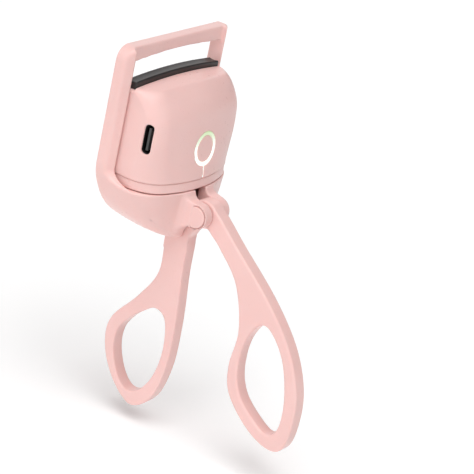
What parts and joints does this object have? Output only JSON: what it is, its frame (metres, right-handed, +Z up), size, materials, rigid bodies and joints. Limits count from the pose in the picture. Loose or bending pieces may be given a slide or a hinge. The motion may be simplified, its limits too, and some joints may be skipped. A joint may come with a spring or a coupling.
{
  "type": "eyelash curler",
  "caption": "Heated eyelash curler: squeezing its scissor handles lifts a rechargeable heated head until the pad meets the frame's bar.",
  "frame": {"origin": "centre of the underside of the overall bounding box: on the mid-plane between the two sides, level with the lowest point of the rear finger loop", "axes": "+X across the jaws towards the side without the charging port, +Y from the button side to the back, +Z up along the head's slide"},
  "size_m": [0.05, 0.0674, 0.1124],
  "materials": {
    "pink_plastic": "smooth moulded plastic with a soft gloss",
    "black_silicone": "matte silicone",
    "black_plastic": "fine satin heat-resistant plastic",
    "tongue_plastic": "satin",
    "steel": "plain bright steel",
    "port_steel": "formed steel, dark inside",
    "aluminium": "rolled",
    "polyimide": "amber film",
    "bead_epoxy": "epoxy bead",
    "red_wire": "silicone insulation",
    "black_wire": "silicone insulation",
    "battery_foil": "satin laminate pouch",
    "foam": "adhesive foam",
    "board": "solder mask",
    "led_lens": "clear lens",
    "light_guide": "milky light guide",
    "switch_plastic": "satin"
  },
  "bodies": {
    "frame": {"jaw_frame": "pink_plastic", "rear_handle": "pink_plastic", "handle_screw": "steel", "pivot_pin": "steel", "pin_cap_left": "pink_plastic", "pin_cap_right": "pink_plastic"},
    "front_handle": {"front_handle": "pink_plastic", "drive_pin": "steel"},
    "head": {"head_shell": "pink_plastic", "head_base": "pink_plastic", "head_screws": "steel", "lift_yoke": "pink_plastic", "yoke_screws": "steel", "pad_carrier": "black_plastic", "heating_pad": "black_silicone", "heater_plate": "aluminium", "heater_film": "polyimide", "thermistor": "bead_epoxy", "heater_wires": "red_wire", "battery": "battery_foil", "battery_foam": "foam", "battery_wires": "black_wire", "circuit_board": "board", "board_chips": "black_plastic", "status_leds": "led_lens", "usb_shell": "port_steel", "usb_tongue": "tongue_plastic", "tact_switch": "black_plastic", "light_ring": "light_guide"},
    "power_button": {"button_cap": "pink_plastic", "switch_plunger": "switch_plastic"}
  },
  "joints": [
    {"name": "handle_squeeze", "type": "hinge", "parent": "frame", "child": "front_handle", "pos_m": [0, 0.00932, 0.066], "axis": [1, 0, 0], "range_deg": [0, 19.7]},
    {"name": "head_lift", "type": "slide", "parent": "frame", "child": "head", "axis": [0, 0, 1], "range_m": [0, 0.00534]},
    {"name": "button_press", "type": "slide", "parent": "head", "child": "power_button", "axis": [0, 0.9925, -0.1219], "range_m": [0, 0.0003], "stiffness_N_per_m": 800, "springref_m": -0.0008}
  ],
  "couplings": [
    {"joint": "head_lift", "follows": "handle_squeeze", "m_per_rad": 0.015523}
  ]
}
